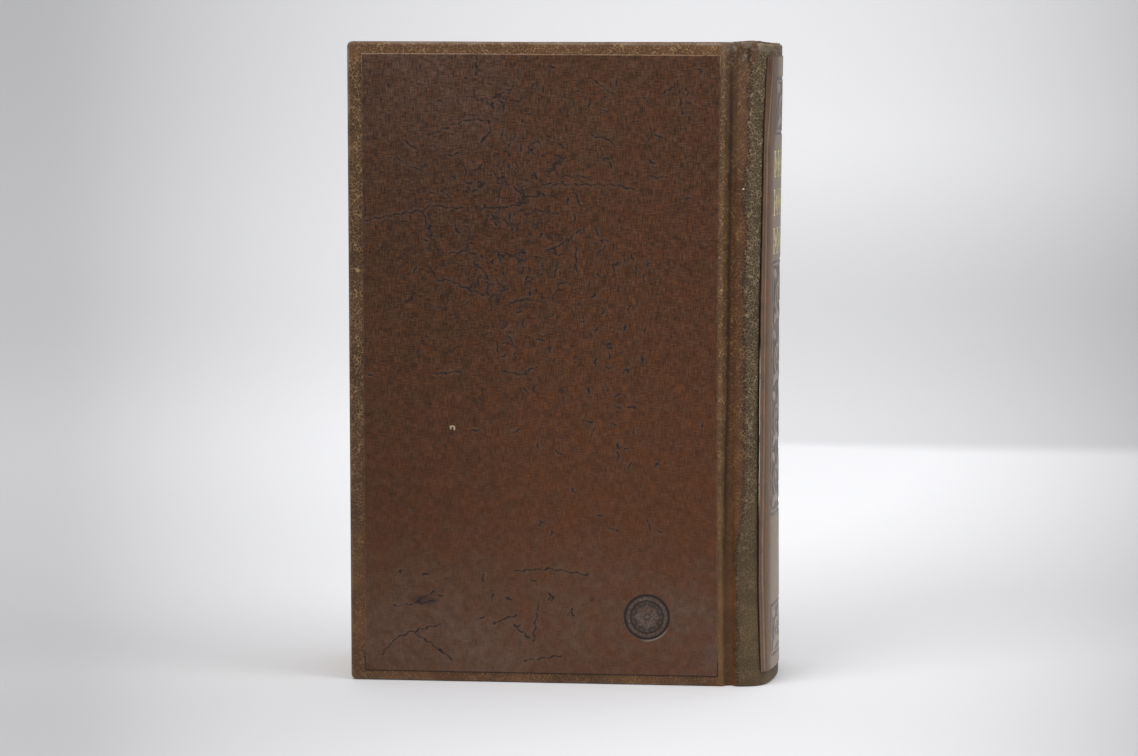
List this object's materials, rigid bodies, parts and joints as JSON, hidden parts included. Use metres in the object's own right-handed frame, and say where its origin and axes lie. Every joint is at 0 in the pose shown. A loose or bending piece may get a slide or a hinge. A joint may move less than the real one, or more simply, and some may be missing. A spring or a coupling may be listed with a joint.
{
  "type": "antique leather book",
  "caption": "Thick upright leather-bound book with hinged covers, a rounded hollow spine with gilt and blind tooling, smooth leather panels and a round blind stamp.",
  "frame": {"origin": "middle of the footprint, on the surface that the book stands on", "axes": "+Z from tail to head, +X from the fore edge to the spine, -Y the outside of the back cover, +Y the outside of the front cover"},
  "size_m": [0.1606, 0.06, 0.24],
  "materials": {
    "grained_leather": "fine goat-like grain, worn brown, darker in the hollows",
    "smooth_leather": "smooth burnished brown with blue-black creases",
    "spine_smooth_leather": "smooth, greyed by light and handling",
    "gold_leaf": "worn gold leaf, dull",
    "millboard": "grey-brown pressed board",
    "spine_card": "thin stiff card",
    "leaves_paper": "toned cut leaf edges",
    "endpaper": "plain cream endpaper",
    "liner_paper": "brown kraft-like lining",
    "mull_cloth": "open-weave glue cloth",
    "band_silk": "sewn silk thread"
  },
  "bodies": {
    "book_block": {"text_block": "leaves_paper", "front_flyleaf": "endpaper", "back_flyleaf": "endpaper", "spine_mull": "mull_cloth", "spine_liner": "liner_paper", "head_band": "band_silk", "tail_band": "band_silk", "spine_stiffener": "spine_card", "spine_leather": "grained_leather", "spine_panel": "spine_smooth_leather", "spine_gilt_lower_row": "gold_leaf", "spine_gilt_middle_row": "gold_leaf", "spine_gilt_upper_row": "gold_leaf"},
    "front_cover": {"front_board": "millboard", "front_leather": "grained_leather", "front_panel": "smooth_leather", "front_mull_flap": "mull_cloth", "front_pastedown": "endpaper"},
    "back_cover": {"back_board": "millboard", "back_leather": "grained_leather", "back_panel": "smooth_leather", "back_mull_flap": "mull_cloth", "back_pastedown": "endpaper"}
  },
  "joints": [
    {"name": "back_cover_hinge", "type": "hinge", "parent": "book_block", "child": "back_cover", "pos_m": [0.06255, -0.0298, 0.12], "axis": [0, 0, 1], "range_deg": [0, 180]},
    {"name": "front_cover_hinge", "type": "hinge", "parent": "book_block", "child": "front_cover", "pos_m": [0.06255, 0.0298, 0.12], "axis": [0, 0, -1], "range_deg": [0, 180]}
  ]
}
